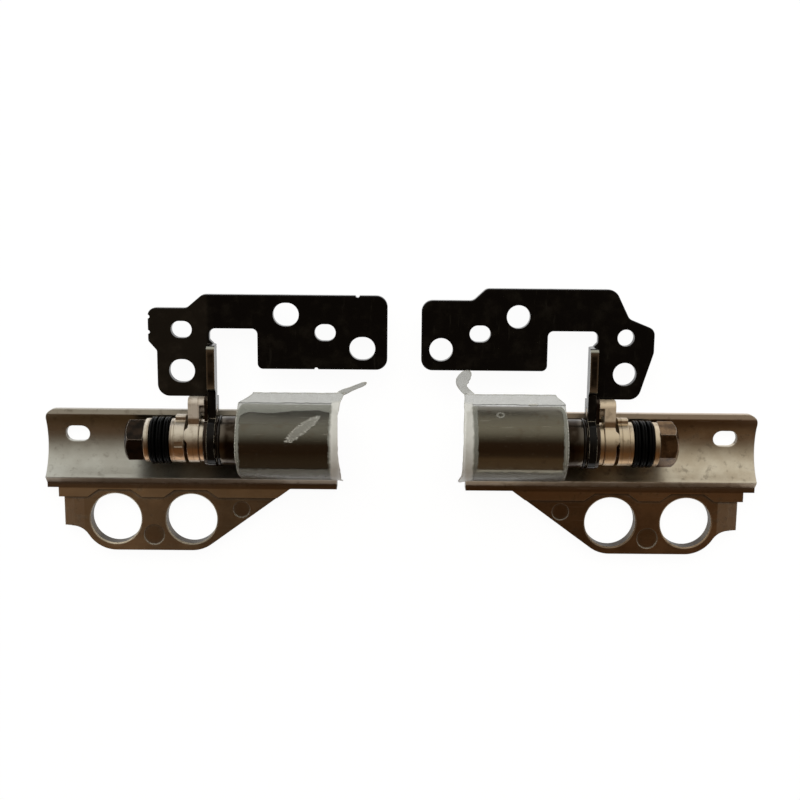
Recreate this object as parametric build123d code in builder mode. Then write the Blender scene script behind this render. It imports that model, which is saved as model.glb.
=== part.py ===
from build123d import *
import os
from math import acos, atan2, cos, degrees, hypot, radians, sin, sqrt

os.makedirs("parts", exist_ok=True)

# A left and a right laptop hinge, laid out flat with their shafts in line.
# X runs along the shafts, Y points towards the display, Z is up from the seat of the two bases.
# Lengths are in millimetres. Places along a shaft are stations: distances out from the middle of the pair.

# The two display plates
plate_gap = 3.75              # free space between the two plates
sheet = 1.0                   # thickness of the steel sheet
plate_below_axis = 0.5        # front face of the plates below the shaft axis
left_wing_reach = 21.1        # leg to the inner end of the plate
right_wing_reach = 20.65
left_display_reach = 18.2     # shaft axis to the far edge of the plate
right_display_reach = 19.2
left_ear_reach = 8.5          # leg to the outer end of the plate
right_ear_reach = 8.2
wing_bottom = 9.0             # shaft axis to the near edge of the long wing
lobe_bottom = 5.5             # shaft axis to the near edge of the plate beside the leg
window_width = 5.0            # gap between the long wing and the leg
window_top = 14.0             # shaft axis to the closed end of that gap
left_relief_depth = 0.95      # bend relief cut past the leg
right_relief_depth = 1.2
relief_corner = 0.75
relief_slant = 0.5            # slanting lower corner of the relief
wing_corner = 1.4
window_corner = 0.7
ear_corner = 1.0
lobe_corner = 1.5
left_slope_at = 1.7           # leg to the top of the slope down to the ear
left_slope_run = 2.0
left_slope_drop = 1.7
left_ear_height = 6.9         # lower end of the ear above the near edge
left_ear_taper = 1.2
left_ear_step = 1.05          # ear past the lobe below it
right_slope_at = -12.7        # leg to the top of the slope down to the wing's end
right_slope_run = 1.6
right_slope_drop = 1.5
right_shoulder_at = 3.2       # leg to the outer end of the top edge
right_shoulder_run = 1.8
right_shoulder_drop = 3.6
right_ear_drop = 4.9          # top edge to the ear
right_ear_height = 5.9
right_ear_step = 1.8
plate_edge_round = 0.15
lid_screw_diameter = 2.9
lid_screw_play = 0.3          # extra length of the left plate's screw holes
left_top_screw = (-8.55, 2.4)     # out from the leg, below the far edge
right_top_screw = (-8.7, 3.45)
left_end_screw = (3.1, 2.65)      # from the wing's inner end, above its near edge
right_end_screw = (2.45, 2.6)
lobe_screw_height = 3.2           # above the near edge beside the leg
left_hole_shift = 0.12            # holes beside the leg, past the middle of the ear
right_hole_shift = 0.55
pilot_diameter = 2.1
pilot_slot_length = 2.6
wing_pilot_at = -13.4             # out from the leg
wing_pilot_height = 4.6           # above the wing's near edge
ear_pilot_share = 0.66            # place of the ear's pilot hole between the screw hole and the shoulder
scar_radius = 0.25            # nicks where the left blank was sheared from its strip
near_scar_at = -12.3          # out from the leg
far_scar_at = -17.4
ear_scar_spacing = 1.9

# The leg and the eye of the display bracket
leg_top = 12.1                # shaft axis to the top of the leg
leg_front = 1.75              # front edge of the leg above the shaft axis
leg_step = 6.8                # shaft axis to the step in the front edge
tongue_front = 1.1            # front edge below that step
leg_corner = 0.5
bend_radius = 0.3             # inside radius of the bend
eye_rim = 1.4                 # width of the ring round the eye

# The friction pack on the shaft
cam_radius = 2.75
spring_radius = 2.95
friction_plate_radius = 3.1
inner_washer_radius = 3.0
outer_washer_radius = 2.65
seat_washer_radius = 2.75
journal_radius = 1.75
across_flats = 2.6
running_clearance = 0.05      # radial play of what turns on the shaft
key_clearance = 0.03          # play of what is keyed to the flats
grease_gap = 0.02             # between faces that slide on each other
inner_washer_thickness = 0.2
outer_washer_thickness = 0.62
seat_washer_thickness = 0.58
friction_plate_thickness = 0.4
moving_cam_thickness = 1.36
fixed_cam_thickness = 1.26
lobe_height = 0.4
lobe_top_width = 1.0
lobe_flank = 0.5              # width of each sloping side of a lobe
lobe_angle = 65.0             # place of the outer lobe, from the display side towards the front
track_split = 2.3             # radius between the inner and the outer cam track
valley_clearance = 0.1
hinge_travel = 180.0
finger_front = 1.5            # front edge of the fingers above the shaft axis
finger_back = 1.1             # back edge below it
finger_corner = 0.3
finger_tip_round = 0.8
finger_lap = 0.1              # cam's finger past the near edge of the display plate
friction_finger_lap = 0.45
finger_gap = 0.1              # between the fingers and the display plate
hook_height = 0.9             # end of the cam's finger that reaches back to the friction plate
peg_radius = 0.5
peg_clearance = 0.05
peg_wall = 0.75               # between the cam disc and the peg
mark_width = 0.6              # index notch in the rim of the left fixed cam
mark_depth = 0.15
mark_land = 0.1               # rim left at each end of the notch
lug_reach = 3.25              # shaft axis to the end of the fixed cam's lug
lug_half_width = 0.7
lug_corner = 0.2
spring_count = 6
disc_thickness = 0.3
disc_cone = 0.12
disc_edge = 0.12              # rounding of the rim
disc_bore_clearance = 0.1
end_washer_radius = 2.75
end_washer_thickness = 0.66
washer_edge = 0.08
nut_across_flats = 5.0
nut_height = 2.35
nut_chamfer = 0.5
left_nut_turn = 18.0          # degrees that the nut's corners are turned
right_nut_turn = 54.0
thread_radius = 1.5
thread_clearance = 0.03
thread_end = 0.1              # shaft end past the nut
shaft_chamfer = 0.15

# The shaft's root and collar
root_radius = 2.0
root_length = 10.0
press_clearance = 0.01
collar_radius = 3.05
collar_length = 2.6
collar_round = 0.6

# The cast base: barrel and trough
base_length = 37.05
barrel_length = 11.55
barrel_inset = 0.1            # underside of the barrel above the seat
barrel_setback = 0.35         # inner end of the base past the barrel
barrel_edge = 0.25
floor_thickness = 0.8
stack_clearance = 0.7         # trough floor to the arm's eye
trough_top = 2.7              # shaft axis to the inner edge of the upper lip
trough_low = 5.35             # shaft axis to the crest of the lower lip
trough_low_point = 0.9        # deepest line of the trough below the shaft axis
top_lip_rise = 1.35           # upper lip above the trough floor
lip_thickness = 0.68
back_bevel = 1.3              # bevel from the upper lip down to the seat
crest_rise = 0.8              # crest of the lower lip above the step
crest_slope = 0.87
ledge_width = 0.62            # flat step beyond the crest
trough_corner = 1.5
slot_length = 3.1
slot_width = 2.1
slot_inset = 3.82             # outer end of the base to the middle of the slot

# The cast base: flange
flange_thickness = 1.7
strip_rise = 0.35             # raised strip above the flange
strip_width = 1.24            # raised strip beyond the ledge
strip_overhang = 0.5
frame_hole_radius = 3.28
frame_hole_edge = 0.15
rim_width = 0.92              # metal round the two large holes
hole_reach = 11.0             # shaft axis to the middle of the large holes
hole_spacing = 9.76
hole_inset = 8.55             # outer end of the base to the first large hole
web_angle = 36.3              # slope of the long edge towards the middle of the pair
block_drop = 1.0              # outer block's edge below the hole centres
block_width = 2.45
block_fillet = 2.5
relief_top_half = 2.1         # half widths of the cut in the strip over each large hole
relief_low_half = 3.5
relief_margin = 0.25          # strip that is left between that cut and the ledge
ramp_width = 1.35             # sloping land on the outer block
ramp_drop = 0.35
mark_recess = 0.12            # ejector marks
between_mark_radius = 1.35
between_mark_drop = 2.1
web_mark_radius = 1.1
web_mark_inset = 6.45         # inner large hole to the ejector mark on the web
web_mark_rise = 1.35

# The protective film
film_thickness = 0.1
film_gap = 0.03
film_leave_angle = 28.0       # where the film leaves the barrel, from the display side towards the front
flap_length = 3.0
film_overhang = 1.1           # past the inner end of the barrel
film_margin = 0.15            # past the outer end of the barrel
film_foot_gap = 0.15
flap_cut_length = 1.8
flap_cut_rise = 0.75
tab_overlap = 0.15
left_tab_length = 2.1
left_tab_rise = 1.3
left_tab_width = 0.55
right_tab_inset = 0.3
right_tab_rise = 3.1
right_tab_width = 1.6
right_tab_bulge = 0.4
tab_round = 0.25

# Stations along the shaft, outwards from the middle of the pair
leg_face = plate_gap / 2 + max(left_wing_reach, right_wing_reach)
inner_washer_at = leg_face - grease_gap - inner_washer_thickness
barrel_end = inner_washer_at - collar_length
barrel_inner = barrel_end - barrel_length
base_inner = barrel_inner - barrel_setback
base_outer = base_inner + base_length
friction_plate_at = leg_face + sheet
outer_washer_at = friction_plate_at + friction_plate_thickness + grease_gap
moving_cam_at = outer_washer_at + outer_washer_thickness + grease_gap
cam_face_at = moving_cam_at + moving_cam_thickness
fixed_cam_at = cam_face_at + lobe_height + grease_gap
seat_washer_at = fixed_cam_at + fixed_cam_thickness
springs_at = seat_washer_at + seat_washer_thickness
disc_pitch = disc_thickness + disc_cone
end_washer_at = springs_at + spring_count * disc_pitch
nut_at = end_washer_at + end_washer_thickness
nut_end = nut_at + nut_height
shaft_end = nut_end + thread_end

# Heights above the seat and reaches from the shaft axis
eye_bore = journal_radius + running_clearance
eye_radius = eye_bore + eye_rim
axis_height = floor_thickness + stack_clearance + eye_radius
barrel_radius = axis_height - barrel_inset
strip_height = flange_thickness + strip_rise
crest_height = strip_height + crest_rise
top_lip_height = floor_thickness + top_lip_rise
seat_edge = trough_top + lip_thickness - back_bevel
ledge_reach = trough_low + crest_slope + ledge_width
ring_radius = frame_hole_radius + rim_width
flange_reach = hole_reach + ring_radius
strip_reach = ledge_reach + strip_width
block_reach = hole_reach + block_drop
outer_hole_at = base_outer - hole_inset
inner_hole_at = outer_hole_at - hole_spacing
flange_end = outer_hole_at + ring_radius + block_width
peg_reach = cam_radius + peg_wall + peg_radius
cam_finger_reach = lobe_bottom + finger_lap
friction_finger_reach = lobe_bottom + friction_finger_lap
plate_front = axis_height - plate_below_axis
plate_back = plate_front - sheet

# The origin lies on the seat, under the middle of the whole pair
display_reach = max(left_display_reach, right_display_reach)
axis_y = (flange_reach - display_reach) / 2

lengthwise = Plane((0, axis_y, axis_height))
shaft_axis = Axis((0, axis_y, axis_height), (1, 0, 0))


def plan(height):
    """Level sketching plane: local x along the pair, local y from the shaft axis towards the display."""
    return Plane((0, axis_y, height))


def cross_section(side, station, height=axis_height):
    """Plane square to the shaft: local x towards the display, local y up from the given height."""
    return Plane((side * station, axis_y, height), x_dir=(0, 1, 0), z_dir=(1, 0, 0))


def save(piece, name):
    piece.part.label = name
    export_step(piece.part, f"parts/{name}.step")


def double_d(radius, width):
    """Round outline with two flats, as on the shaft."""
    with BuildSketch() as outline:
        Circle(radius)
        Rectangle(2 * radius, width, mode=Mode.INTERSECT)
    return outline.sketch


def key_hole():
    return double_d(journal_radius + key_clearance, across_flats + 2 * key_clearance)


def web_edge(reach):
    """Station where the flange's long sloping edge is at the given distance below the shaft axis."""
    touch_x = inner_hole_at - ring_radius * sin(radians(web_angle))
    touch_y = hole_reach + ring_radius * cos(radians(web_angle))
    return touch_x - (touch_y - reach) * cos(radians(web_angle)) / sin(radians(web_angle))


def make_base_bracket(side):
    """Die casting: barrel, open trough with two lips, and the stepped flange with its large holes."""
    fillet_drop = block_drop + block_fillet
    fillet_out = sqrt((ring_radius + block_fillet) ** 2 - fillet_drop ** 2)
    blend = ring_radius / (ring_radius + block_fillet)
    web_touch = (
        side * (inner_hole_at - ring_radius * sin(radians(web_angle))),
        -hole_reach - ring_radius * cos(radians(web_angle)),
    )
    with BuildPart() as base:
        # Trough with its lips, drawn along the whole base
        with BuildSketch(cross_section(side, base_inner, 0)):
            with BuildLine():
                lip_inside = (trough_top, top_lip_height)
                crest = (-trough_low, crest_height)
                Polyline(
                    crest,
                    (-trough_low - crest_slope, strip_height),
                    (-ledge_reach, strip_height),
                    (-ledge_reach, 0),
                    (seat_edge, 0),
                    (trough_top + lip_thickness, back_bevel),
                    (trough_top + lip_thickness, top_lip_height),
                    lip_inside,
                )
                ThreePointArc(lip_inside, (-trough_low_point, floor_thickness), crest)
            make_face()
        extrude(amount=side * base_length)
        # Rounded free corner of the trough
        with BuildSketch(plan(0)):
            with BuildLine():
                FilletPolyline(
                    (side * base_inner, -ledge_reach),
                    (side * base_outer, -ledge_reach),
                    (side * base_outer, trough_top + lip_thickness),
                    (side * base_inner, trough_top + lip_thickness),
                    radius=[0, 0, trough_corner, 0],
                    close=True,
                )
            make_face()
        extrude(amount=crest_height, mode=Mode.INTERSECT)
        # Barrel on its saddle
        with BuildSketch(lengthwise):
            Polygon(
                (side * barrel_inner, 0),
                (side * barrel_inner, barrel_radius - barrel_edge),
                (side * (barrel_inner + barrel_edge), barrel_radius),
                (side * (barrel_end - barrel_edge), barrel_radius),
                (side * barrel_end, barrel_radius - barrel_edge),
                (side * barrel_end, 0),
                align=None,
            )
        revolve(axis=shaft_axis)
        with BuildSketch(cross_section(side, barrel_inner, 0)):
            with Locations((0, axis_height / 2)):
                Rectangle(2 * seat_edge, axis_height)
        extrude(amount=side * (barrel_length - barrel_edge))
        # Flange, rounded about both large holes
        with BuildSketch(plan(0)):
            with BuildLine():
                web_start = (side * web_edge(ledge_reach), -ledge_reach)
                inner_low = (side * inner_hole_at, -flange_reach)
                outer_low = (side * outer_hole_at, -flange_reach)
                blend_start = (
                    side * (outer_hole_at + fillet_out * blend),
                    -hole_reach - fillet_drop * blend,
                )
                blend_end = (side * (outer_hole_at + fillet_out), -block_reach)
                Line(web_start, web_touch)
                RadiusArc(web_touch, inner_low, -side * ring_radius)
                Line(inner_low, outer_low)
                RadiusArc(outer_low, blend_start, -side * ring_radius)
                RadiusArc(blend_start, blend_end, side * block_fillet)
                Polyline(
                    blend_end,
                    (side * flange_end, -block_reach),
                    (side * flange_end, -ledge_reach),
                    web_start,
                )
            make_face()
        extrude(amount=flange_thickness)
        # Raised strip, cut back over the large holes
        with BuildSketch(plan(0)):
            Polygon(
                (side * web_edge(ledge_reach), -ledge_reach),
                (side * web_edge(strip_reach), -strip_reach),
                (side * (flange_end + strip_overhang), -strip_reach),
                (side * (flange_end + strip_overhang), -ledge_reach),
                align=None,
            )
            for hole_at in (inner_hole_at, outer_hole_at):
                relief_top = -ledge_reach - relief_margin
                Polygon(
                    (side * (hole_at - relief_top_half), relief_top),
                    (side * (hole_at + relief_top_half), relief_top),
                    (side * (hole_at + relief_low_half), -strip_reach),
                    (side * (hole_at - relief_low_half), -strip_reach),
                    align=None,
                    mode=Mode.SUBTRACT,
                )
        extrude(amount=strip_height)
        # Sloping land on the outer block
        ramp_plane = Plane((0, axis_y - strip_reach, flange_thickness), x_dir=(1, 0, 0), z_dir=(0, -1, 0))
        with BuildSketch(ramp_plane):
            Polygon(
                (side * (flange_end - ramp_width), 0),
                (side * flange_end, 0),
                (side * flange_end, -ramp_drop),
                align=None,
            )
        extrude(amount=block_reach - strip_reach, mode=Mode.SUBTRACT)
        # Two large holes with broken edges, and the slot in the trough
        with BuildSketch(plan(0)):
            with Locations((side * inner_hole_at, -hole_reach), (side * outer_hole_at, -hole_reach)):
                Circle(frame_hole_radius)
        extrude(amount=crest_height, mode=Mode.SUBTRACT)
        hole_edges = base.edges().filter_by(GeomType.CIRCLE)
        hole_edges = hole_edges.filter_by(lambda edge: abs(edge.radius - frame_hole_radius) < 1e-6)
        chamfer(hole_edges.group_by(Axis.Z)[-1], frame_hole_edge)
        with BuildSketch(plan(0)):
            with Locations((side * (base_outer - slot_inset), 0)):
                SlotOverall(slot_length, slot_width)
        extrude(amount=axis_height, mode=Mode.SUBTRACT)
        # Shallow ejector marks
        with BuildSketch(plan(flange_thickness)):
            with Locations((side * (inner_hole_at + hole_spacing / 2), -hole_reach - between_mark_drop)):
                Circle(between_mark_radius)
            with Locations((side * (inner_hole_at - web_mark_inset), -hole_reach + web_mark_rise)):
                Circle(web_mark_radius)
        extrude(amount=-mark_recess, mode=Mode.SUBTRACT)
        # Bore for the shaft
        with BuildSketch(cross_section(side, barrel_end)):
            Circle(root_radius + press_clearance)
        extrude(amount=-side * root_length, mode=Mode.SUBTRACT)
    return base


def make_shaft(side):
    """Turned steel: pressed root, collar, journal with two flats and threaded end."""
    with BuildPart() as shaft:
        with BuildSketch(lengthwise):
            with BuildLine():
                Polyline(
                    (side * (barrel_end - root_length), 0),
                    (side * (barrel_end - root_length), root_radius),
                    (side * barrel_end, root_radius),
                    (side * barrel_end, collar_radius),
                    (side * inner_washer_at, collar_radius),
                    (side * inner_washer_at, journal_radius),
                    (side * end_washer_at, journal_radius),
                    (side * end_washer_at, thread_radius),
                    (side * shaft_end, thread_radius),
                    (side * shaft_end, 0),
                    close=True,
                )
            make_face()
        revolve(axis=shaft_axis)
        rims = shaft.edges().filter_by(GeomType.CIRCLE)
        rims = rims.sort_by(lambda edge: side * edge.center().X)
        collar_rims = rims.filter_by(lambda edge: abs(edge.radius - collar_radius) < 1e-6)
        chamfer(rims[-1], shaft_chamfer)
        fillet(collar_rims[-1], collar_round)
        with BuildSketch(cross_section(side, inner_washer_at)):
            Circle(collar_radius)
            Rectangle(2 * collar_radius, across_flats, mode=Mode.SUBTRACT)
        extrude(amount=side * (shaft_end - inner_washer_at), mode=Mode.SUBTRACT)
    return shaft


def make_keyed_washer(side, station, radius, thickness):
    """Flat washer held still by the shaft's two flats."""
    with BuildPart() as washer:
        with BuildSketch(cross_section(side, station)):
            Circle(radius)
            add(key_hole(), mode=Mode.SUBTRACT)
        extrude(amount=side * thickness)
        rims = washer.edges().filter_by(GeomType.CIRCLE)
        chamfer(rims.filter_by(lambda edge: abs(edge.radius - radius) < 1e-6), washer_edge)
    return washer


def finger(reach):
    """Finger towards the display: its tip lies in front of the display plate."""
    tip_back = bend_radius + finger_gap - plate_below_axis
    shank_end = lobe_bottom - finger_gap
    with BuildSketch() as outline:
        with BuildLine():
            FilletPolyline(
                (0, finger_front),
                (reach, finger_front),
                (reach, tip_back),
                (shank_end, tip_back),
                (shank_end, -finger_back),
                (0, -finger_back),
                radius=[0, finger_tip_round, 0, 0, finger_corner, 0],
                close=True,
            )
        make_face()
    return outline.sketch


def plate_corners(side):
    """Corners of a display plate: distance out from the leg, distance from the shaft axis, corner radius."""
    bend_out = sheet + bend_radius
    relief_depth = left_relief_depth if side < 0 else right_relief_depth
    shared = [
        (bend_out, lobe_bottom, 0),
        (bend_out, leg_top, 0),
        (relief_depth - relief_slant, leg_top, 0),
        (relief_depth, leg_top + relief_slant, relief_slant / 2),
        (relief_depth, window_top, relief_corner),
        (-window_width, window_top, window_corner),
        (-window_width, wing_bottom, window_corner),
    ]
    if side < 0:
        ear_top = left_display_reach - left_slope_drop
        ear_low = lobe_bottom + left_ear_height
        lobe_side = left_ear_reach - left_ear_step
        return shared + [
            (-left_wing_reach, wing_bottom, wing_corner),
            (-left_wing_reach, left_display_reach, wing_corner),
            (left_slope_at, left_display_reach, ear_corner),
            (left_slope_at + left_slope_run, ear_top, ear_corner),
            (left_ear_reach, ear_top, ear_corner),
            (left_ear_reach, ear_low, ear_corner / 2),
            (lobe_side, ear_low - left_ear_taper, ear_corner / 2),
            (lobe_side, lobe_bottom, lobe_corner),
        ]
    wing_top = right_display_reach - right_slope_drop
    shoulder_end = right_shoulder_at + right_shoulder_run
    return shared + [
        (-right_wing_reach, wing_bottom, wing_corner),
        (-right_wing_reach, wing_top, wing_corner),
        (right_slope_at - right_slope_run, wing_top, ear_corner),
        (right_slope_at, right_display_reach, ear_corner),
        (right_shoulder_at, right_display_reach, lobe_corner),
        (shoulder_end, right_display_reach - right_shoulder_drop, ear_corner),
        (right_ear_reach, right_display_reach - right_ear_drop, ear_corner),
        (right_ear_reach, lobe_bottom + right_ear_height, lobe_corner),
        (right_ear_reach - right_ear_step, lobe_bottom, lobe_corner),
    ]


def ear_holes_at(side):
    """Place along the pair of the two holes beside the leg."""
    if side < 0:
        return side * (leg_face + left_ear_reach / 2 + left_hole_shift)
    return side * (leg_face + right_ear_reach / 2 + right_hole_shift)


def lid_screws(side):
    """Middles of the three screw holes of a display plate."""
    wing_reach = left_wing_reach if side < 0 else right_wing_reach
    reach = left_display_reach if side < 0 else right_display_reach
    top_out, top_drop = left_top_screw if side < 0 else right_top_screw
    end_in, end_rise = left_end_screw if side < 0 else right_end_screw
    return [
        (side * (leg_face + top_out), reach - top_drop),
        (side * (leg_face - wing_reach + end_in), wing_bottom + end_rise),
        (ear_holes_at(side), lobe_bottom + lobe_screw_height),
    ]


def make_display_bracket(side):
    """Stamped sheet: lid plate with its screw holes, and a leg bent up to the eye on the shaft."""
    corners = plate_corners(side)
    bend_at = leg_face + sheet + bend_radius
    bend_height = plate_front + bend_radius
    plate_level = -plate_below_axis - sheet
    lobe_screw = lobe_bottom + lobe_screw_height
    if side < 0:
        shoulder = left_display_reach - left_slope_drop
    else:
        shoulder = right_display_reach - right_shoulder_drop
    ear_pilot = (ear_holes_at(side), lobe_screw + (shoulder - lobe_screw) * ear_pilot_share)
    with BuildPart() as bracket:
        # Plate, with a rolled front edge all round but at the bend
        with BuildSketch(plan(plate_back)):
            with BuildLine():
                FilletPolyline(
                    *[(side * (leg_face + out), up) for out, up, corner in corners],
                    radius=[corner for out, up, corner in corners],
                    close=True,
                )
            make_face()
        extrude(amount=sheet)
        front_edges = bracket.edges().group_by(Axis.Z)[-1]
        front_edges = front_edges.filter_by(lambda edge: abs(side * edge.center().X - bend_at) > 1e-6)
        front_edges = front_edges.filter_by(lambda edge: abs(edge.center().Y - axis_y - leg_top) > 1e-6)
        fillet(front_edges, plate_edge_round)
        # Screw holes and pilot holes
        with BuildSketch(plan(plate_back)):
            with Locations(*lid_screws(side)):
                if side < 0:
                    SlotOverall(lid_screw_diameter + lid_screw_play, lid_screw_diameter)
                else:
                    Circle(lid_screw_diameter / 2)
            with Locations((side * (leg_face + wing_pilot_at), wing_bottom + wing_pilot_height)):
                SlotOverall(pilot_slot_length, pilot_diameter)
            with Locations(ear_pilot):
                if side < 0:
                    SlotOverall(pilot_slot_length, pilot_diameter)
                else:
                    Circle(pilot_diameter / 2)
        extrude(amount=sheet, mode=Mode.SUBTRACT)
        if side < 0:
            ear_middle = (left_display_reach - left_slope_drop + lobe_bottom + left_ear_height) / 2
            with BuildSketch(plan(plate_back)):
                with Locations(
                    (side * (leg_face + near_scar_at), wing_bottom),
                    (side * (leg_face + far_scar_at), left_display_reach),
                    (side * (leg_face + left_ear_reach), ear_middle - ear_scar_spacing / 2),
                    (side * (leg_face + left_ear_reach), ear_middle + ear_scar_spacing / 2),
                ):
                    Circle(scar_radius)
            extrude(amount=sheet, mode=Mode.SUBTRACT)
        # Quarter bend from the plate up to the leg
        bend_plane = Plane((0, axis_y + lobe_bottom, 0), x_dir=(1, 0, 0), z_dir=(0, -1, 0))
        with BuildSketch(bend_plane):
            with Locations((side * bend_at, bend_height)):
                Circle(bend_radius + sheet)
                Circle(bend_radius, mode=Mode.SUBTRACT)
            with Locations((side * leg_face, plate_back)):
                Rectangle(
                    bend_radius + sheet,
                    bend_radius + sheet,
                    align=(Align.MAX if side < 0 else Align.MIN, Align.MIN),
                    mode=Mode.INTERSECT,
                )
        extrude(amount=-(leg_top - lobe_bottom))
        # Leg, its narrower tongue and the eye, all in one plane
        with BuildSketch(cross_section(side, leg_face)):
            with BuildLine():
                FilletPolyline(
                    (lobe_bottom, bend_height - axis_height),
                    (leg_top, bend_height - axis_height),
                    (leg_top, leg_front),
                    (leg_step, leg_front),
                    (leg_step - leg_corner, tongue_front),
                    (0, tongue_front),
                    (0, plate_level),
                    (lobe_bottom, plate_level),
                    radius=[0, 0, leg_corner, leg_corner / 2, 0, 0, 0, 0],
                    close=True,
                )
            make_face()
            Circle(eye_radius)
            Circle(eye_bore, mode=Mode.SUBTRACT)
            with Locations((peg_reach, 0)):
                Circle(peg_radius + peg_clearance, mode=Mode.SUBTRACT)
        extrude(amount=side * sheet)
    return bracket


def make_friction_plate(side):
    """Stamped plate beside the eye: its finger takes the peg, so it turns with the arm."""
    with BuildPart() as plate:
        with BuildSketch(cross_section(side, friction_plate_at)):
            add(finger(friction_finger_reach))
            Circle(friction_plate_radius)
            Circle(eye_bore, mode=Mode.SUBTRACT)
            with Locations((peg_reach, 0)):
                Circle(peg_radius + peg_clearance, mode=Mode.SUBTRACT)
        extrude(amount=side * friction_plate_thickness)
    return plate


def cam_tracks():
    """Angle, inner radius and outer radius of the lobe on each cam track."""
    return (
        (lobe_angle, track_split, cam_radius),
        (lobe_angle + 180, eye_bore, track_split),
    )


def lobe_profile(side, station, angle, radius, growth):
    """Sloped lobe seen from the shaft, standing on a cam face at the given station and radius."""
    outward = (0, cos(radians(angle)), sin(radians(angle)))
    along = (0, -sin(radians(angle)), cos(radians(angle)))
    origin = (side * station, axis_y + radius * outward[1], axis_height + radius * outward[2])
    half_top = lobe_top_width / 2 + growth
    half_foot = half_top + lobe_flank
    with BuildSketch(Plane(origin, x_dir=along, z_dir=outward)) as profile:
        Polygon(
            (-half_foot, 0),
            (half_foot, 0),
            (half_top, side * lobe_height),
            (-half_top, side * lobe_height),
            align=None,
        )
    return profile.sketch, outward


def make_moving_cam(side):
    """Cam disc with two lobes on separate tracks, a finger, and a peg into the arm."""
    with BuildPart() as cam:
        with BuildSketch(cross_section(side, moving_cam_at)):
            Circle(cam_radius)
        extrude(amount=side * moving_cam_thickness)
        for angle, inner, outer in cam_tracks():
            profile, outward = lobe_profile(side, cam_face_at, angle, inner, 0)
            extrude(profile, amount=outer - inner, dir=outward)
        with BuildSketch(cross_section(side, moving_cam_at)):
            Circle(cam_radius)
        extrude(amount=side * (moving_cam_thickness + lobe_height), mode=Mode.INTERSECT)
        with BuildSketch(cross_section(side, moving_cam_at)):
            add(finger(cam_finger_reach))
        extrude(amount=side * moving_cam_thickness)
        # End of the finger that reaches back over the washer, and the peg
        with BuildSketch(cross_section(side, moving_cam_at)):
            add(finger(cam_finger_reach))
            with Locations((cam_finger_reach, finger_front)):
                Rectangle(2 * hook_height, 2 * finger_front + 2 * finger_back, mode=Mode.INTERSECT)
        extrude(amount=-side * (outer_washer_thickness + grease_gap))
        with BuildSketch(cross_section(side, moving_cam_at)):
            with Locations((peg_reach, 0)):
                Circle(peg_radius)
        extrude(amount=-side * (moving_cam_at - leg_face))
        with BuildSketch(cross_section(side, moving_cam_at)):
            Circle(eye_bore)
        extrude(amount=side * (moving_cam_thickness + lobe_height), mode=Mode.SUBTRACT)
    return cam


def make_fixed_cam(side):
    """Cam disc keyed to the shaft, with valleys where the lobes drop in when the lid is shut."""
    with BuildPart() as cam:
        with BuildSketch(cross_section(side, fixed_cam_at)):
            Circle(cam_radius)
            with Locations((lug_reach / 2, 0)):
                RectangleRounded(lug_reach, 2 * lug_half_width, lug_corner)
        extrude(amount=side * fixed_cam_thickness)
        for angle, inner, outer in cam_tracks():
            shut_angle = angle + hinge_travel
            profile, outward = lobe_profile(
                side, fixed_cam_at, shut_angle, inner - valley_clearance, valley_clearance
            )
            extrude(profile, amount=outer - inner + 2 * valley_clearance, dir=outward, mode=Mode.SUBTRACT)
        if side < 0:
            with BuildSketch(plan(axis_height + cam_radius)):
                with Locations((side * (fixed_cam_at + fixed_cam_thickness / 2), 0)):
                    Rectangle(fixed_cam_thickness - 2 * mark_land, mark_width)
            extrude(amount=-mark_depth, mode=Mode.SUBTRACT)
        with BuildSketch(cross_section(side, fixed_cam_at)):
            add(key_hole())
        extrude(amount=side * fixed_cam_thickness, mode=Mode.SUBTRACT)
    return cam


def make_disc_spring(side, number):
    """Coned disc. Odd ones open outwards and even ones inwards, so each pair meets at its rim."""
    start = springs_at + number * disc_pitch
    bore = journal_radius + disc_bore_clearance
    bore_at = start if number % 2 == 0 else start + disc_cone
    rim_at = start + disc_cone if number % 2 == 0 else start
    with BuildPart() as disc:
        with BuildSketch(lengthwise):
            with BuildLine():
                FilletPolyline(
                    (side * bore_at, bore),
                    (side * rim_at, spring_radius),
                    (side * (rim_at + disc_thickness), spring_radius),
                    (side * (bore_at + disc_thickness), bore),
                    radius=[0, disc_edge, disc_edge, 0],
                    close=True,
                )
            make_face()
        revolve(axis=shaft_axis)
    return disc


def make_lock_nut(side, turn):
    """Small hex nut with its outer corners turned off."""
    corner_radius = nut_across_flats / sqrt(3)
    face_radius = nut_across_flats / 2
    with BuildPart() as nut:
        with BuildSketch(cross_section(side, nut_at)):
            RegularPolygon(corner_radius, 6, rotation=turn)
            Circle(thread_radius + thread_clearance, mode=Mode.SUBTRACT)
        extrude(amount=side * nut_height)
        with BuildSketch(lengthwise):
            Polygon(
                (side * nut_at, 0),
                (side * nut_at, corner_radius),
                (side * (nut_end - nut_chamfer), corner_radius),
                (side * nut_end, face_radius - nut_chamfer / 2),
                (side * nut_end, 0),
                align=None,
            )
        revolve(axis=shaft_axis, mode=Mode.INTERSECT)
    return nut


def film_flap_end():
    """Far edge of the film's free flap, from the shaft axis: towards the display, and up."""
    film_radius = barrel_radius + film_gap + film_thickness / 2
    leave = radians(film_leave_angle)
    return (
        film_radius * cos(leave) + flap_length * sin(leave),
        film_radius * sin(leave) - flap_length * cos(leave),
    )


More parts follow.
